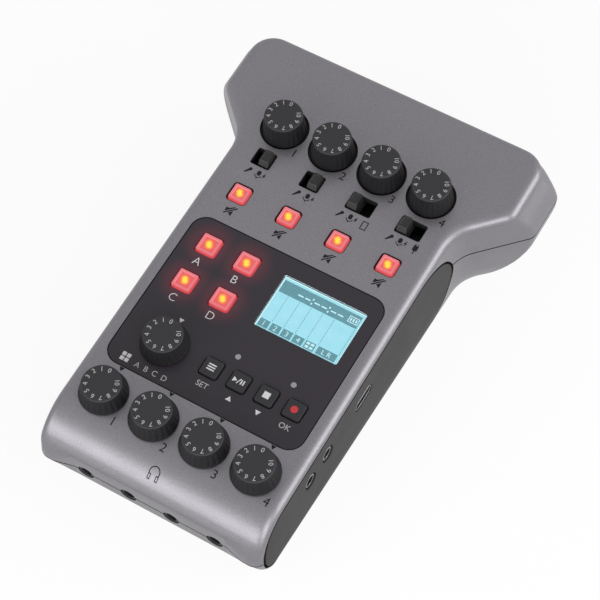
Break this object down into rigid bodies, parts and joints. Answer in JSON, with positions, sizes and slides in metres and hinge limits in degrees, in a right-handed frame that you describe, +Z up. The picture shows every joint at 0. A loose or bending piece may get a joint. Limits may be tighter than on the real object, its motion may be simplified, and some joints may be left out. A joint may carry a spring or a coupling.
{
  "type": "podcast recorder",
  "caption": "Hand-held podcast recorder on a sloped case with a wide input head, gain and phones knobs, lit buttons, slide switches and a small display.",
  "frame": {"origin": "centre of the footprint, on the table", "axes": "+X to the user's right, +Y to the rear, +Z up"},
  "size_m": [0.1144, 0.1552, 0.047],
  "materials": {
    "grey_case": "metallic grey paint on plastic, fine satin",
    "side_panel": "dark moulded plastic, fine texture",
    "control_panel": "dark printed panel, satin",
    "window": "clear window",
    "display": "backlit display, pale blue",
    "knob": "dark soft plastic",
    "lit_button": "translucent red rubber, lit from inside",
    "key": "dark rubber key",
    "switch_cap": "black plastic",
    "board": "green circuit board",
    "steel": "plain steel",
    "contact": "plated brass",
    "cell": "plain sleeve",
    "rubber": "black rubber",
    "light": "clear light guide, unlit",
    "black_plastic": "black moulded plastic"
  },
  "bodies": {
    "case": {"top_shell": "grey_case", "bottom_shell": "grey_case", "right_side_panel": "side_panel", "left_side_panel": "side_panel", "control_panel": "control_panel", "display_window": "window", "display_module": "display", "pot_bodies": "black_plastic", "tact_switches": "black_plastic", "status_lights": "light", "slide_switch_bodies": "black_plastic", "main_board": "board", "input_board": "board", "xlr_sockets": "black_plastic", "xlr_contacts": "contact", "phones_jacks": "black_plastic", "side_jacks": "black_plastic", "usb_socket": "steel", "card_socket": "steel", "batteries": "cell", "battery_contacts": "steel", "case_screws": "steel", "board_screws": "steel", "rubber_feet": "rubber"},
    "gain_1": {"gain_knob_1": "knob", "gain_shaft_1": "steel"},
    "gain_2": {"gain_knob_2": "knob", "gain_shaft_2": "steel"},
    "gain_3": {"gain_knob_3": "knob", "gain_shaft_3": "steel"},
    "gain_4": {"gain_knob_4": "knob", "gain_shaft_4": "steel"},
    "phones_1": {"phones_knob_1": "knob", "phones_shaft_1": "steel"},
    "phones_2": {"phones_knob_2": "knob", "phones_shaft_2": "steel"},
    "phones_3": {"phones_knob_3": "knob", "phones_shaft_3": "steel"},
    "phones_4": {"phones_knob_4": "knob", "phones_shaft_4": "steel"},
    "pad_volume": {"pad_knob": "knob", "pad_shaft": "steel"},
    "mute_button_1_body": {"mute_button_1": "lit_button"},
    "mute_button_2_body": {"mute_button_2": "lit_button"},
    "mute_button_3_body": {"mute_button_3": "lit_button"},
    "mute_button_4_body": {"mute_button_4": "lit_button"},
    "pad_button_a_body": {"pad_button_a": "lit_button"},
    "pad_button_b_body": {"pad_button_b": "lit_button"},
    "pad_button_c_body": {"pad_button_c": "lit_button"},
    "pad_button_d_body": {"pad_button_d": "lit_button"},
    "menu_key_body": {"menu_key": "key"},
    "play_key_body": {"play_key": "key"},
    "stop_key_body": {"stop_key": "key"},
    "record_key_body": {"record_key": "key"},
    "input_switch_1_body": {"input_switch_1": "switch_cap"},
    "input_switch_2_body": {"input_switch_2": "switch_cap"},
    "input_switch_3_body": {"input_switch_3": "switch_cap"},
    "input_switch_4_body": {"input_switch_4": "switch_cap"},
    "power_switch_body": {"power_switch": "switch_cap"},
    "battery_cover_body": {"battery_cover": "grey_case"}
  },
  "joints": [
    {"name": "gain_1_turn", "type": "hinge", "parent": "case", "child": "gain_1", "pos_m": [-0.02625, 0.04687, 0.03883], "axis": [0, 0.1045, -0.9945], "range_deg": [0, 300]},
    {"name": "gain_2_turn", "type": "hinge", "parent": "case", "child": "gain_2", "pos_m": [-0.00875, 0.04687, 0.03883], "axis": [0, 0.1045, -0.9945], "range_deg": [0, 300]},
    {"name": "gain_3_turn", "type": "hinge", "parent": "case", "child": "gain_3", "pos_m": [0.00875, 0.04687, 0.03883], "axis": [0, 0.1045, -0.9945], "range_deg": [0, 300]},
    {"name": "gain_4_turn", "type": "hinge", "parent": "case", "child": "gain_4", "pos_m": [0.02625, 0.04687, 0.03883], "axis": [0, 0.1045, -0.9945], "range_deg": [0, 300]},
    {"name": "phones_1_turn", "type": "hinge", "parent": "case", "child": "phones_1", "pos_m": [-0.02625, -0.05832, 0.02777], "axis": [0, 0.1045, -0.9945], "range_deg": [0, 300]},
    {"name": "phones_2_turn", "type": "hinge", "parent": "case", "child": "phones_2", "pos_m": [-0.00875, -0.05832, 0.02777], "axis": [0, 0.1045, -0.9945], "range_deg": [0, 300]},
    {"name": "phones_3_turn", "type": "hinge", "parent": "case", "child": "phones_3", "pos_m": [0.00875, -0.05832, 0.02777], "axis": [0, 0.1045, -0.9945], "range_deg": [0, 300]},
    {"name": "phones_4_turn", "type": "hinge", "parent": "case", "child": "phones_4", "pos_m": [0.02625, -0.05832, 0.02777], "axis": [0, 0.1045, -0.9945], "range_deg": [0, 300]},
    {"name": "pad_volume_turn", "type": "hinge", "parent": "case", "child": "pad_volume", "pos_m": [-0.019, -0.03583, 0.03013], "axis": [0, 0.1045, -0.9945], "range_deg": [0, 300]},
    {"name": "mute_button_1_body_slide", "type": "slide", "parent": "case", "child": "mute_button_1_body", "axis": [0, 0.1045, -0.9945], "range_m": [0, 0.0006], "stiffness_N_per_m": 1200},
    {"name": "mute_button_2_body_slide", "type": "slide", "parent": "case", "child": "mute_button_2_body", "axis": [0, 0.1045, -0.9945], "range_m": [0, 0.0006], "stiffness_N_per_m": 1200},
    {"name": "mute_button_3_body_slide", "type": "slide", "parent": "case", "child": "mute_button_3_body", "axis": [0, 0.1045, -0.9945], "range_m": [0, 0.0006], "stiffness_N_per_m": 1200},
    {"name": "mute_button_4_body_slide", "type": "slide", "parent": "case", "child": "mute_button_4_body", "axis": [0, 0.1045, -0.9945], "range_m": [0, 0.0006], "stiffness_N_per_m": 1200},
    {"name": "pad_button_a_body_slide", "type": "slide", "parent": "case", "child": "pad_button_a_body", "axis": [0, 0.1045, -0.9945], "range_m": [0, 0.0006], "stiffness_N_per_m": 1200},
    {"name": "pad_button_b_body_slide", "type": "slide", "parent": "case", "child": "pad_button_b_body", "axis": [0, 0.1045, -0.9945], "range_m": [0, 0.0006], "stiffness_N_per_m": 1200},
    {"name": "pad_button_c_body_slide", "type": "slide", "parent": "case", "child": "pad_button_c_body", "axis": [0, 0.1045, -0.9945], "range_m": [0, 0.0006], "stiffness_N_per_m": 1200},
    {"name": "pad_button_d_body_slide", "type": "slide", "parent": "case", "child": "pad_button_d_body", "axis": [0, 0.1045, -0.9945], "range_m": [0, 0.0006], "stiffness_N_per_m": 1200},
    {"name": "menu_key_body_slide", "type": "slide", "parent": "case", "child": "menu_key_body", "axis": [0, 0.1045, -0.9945], "range_m": [0, 0.0006], "stiffness_N_per_m": 1200},
    {"name": "play_key_body_slide", "type": "slide", "parent": "case", "child": "play_key_body", "axis": [0, 0.1045, -0.9945], "range_m": [0, 0.0006], "stiffness_N_per_m": 1200},
    {"name": "stop_key_body_slide", "type": "slide", "parent": "case", "child": "stop_key_body", "axis": [0, 0.1045, -0.9945], "range_m": [0, 0.0006], "stiffness_N_per_m": 1200},
    {"name": "record_key_body_slide", "type": "slide", "parent": "case", "child": "record_key_body", "axis": [0, 0.1045, -0.9945], "range_m": [0, 0.0006], "stiffness_N_per_m": 1200},
    {"name": "input_switch_1_body_slide", "type": "slide", "parent": "case", "child": "input_switch_1_body", "axis": [-1, 0, 0], "range_m": [0, 0.0022]},
    {"name": "input_switch_2_body_slide", "type": "slide", "parent": "case", "child": "input_switch_2_body", "axis": [-1, 0, 0], "range_m": [0, 0.0022]},
    {"name": "input_switch_3_body_slide", "type": "slide", "parent": "case", "child": "input_switch_3_body", "axis": [1, 0, 0], "range_m": [0, 0.0044]},
    {"name": "input_switch_4_body_slide", "type": "slide", "parent": "case", "child": "input_switch_4_body", "axis": [1, 0, 0], "range_m": [0, 0.0044]},
    {"name": "power_switch_body_slide", "type": "slide", "parent": "case", "child": "power_switch_body", "axis": [0, 0.9945, 0.1045], "range_m": [0, 0.004]},
    {"name": "battery_cover_body_slide", "type": "slide", "parent": "case", "child": "battery_cover_body", "axis": [0, 1, 0], "range_m": [0, 0.01]}
  ]
}
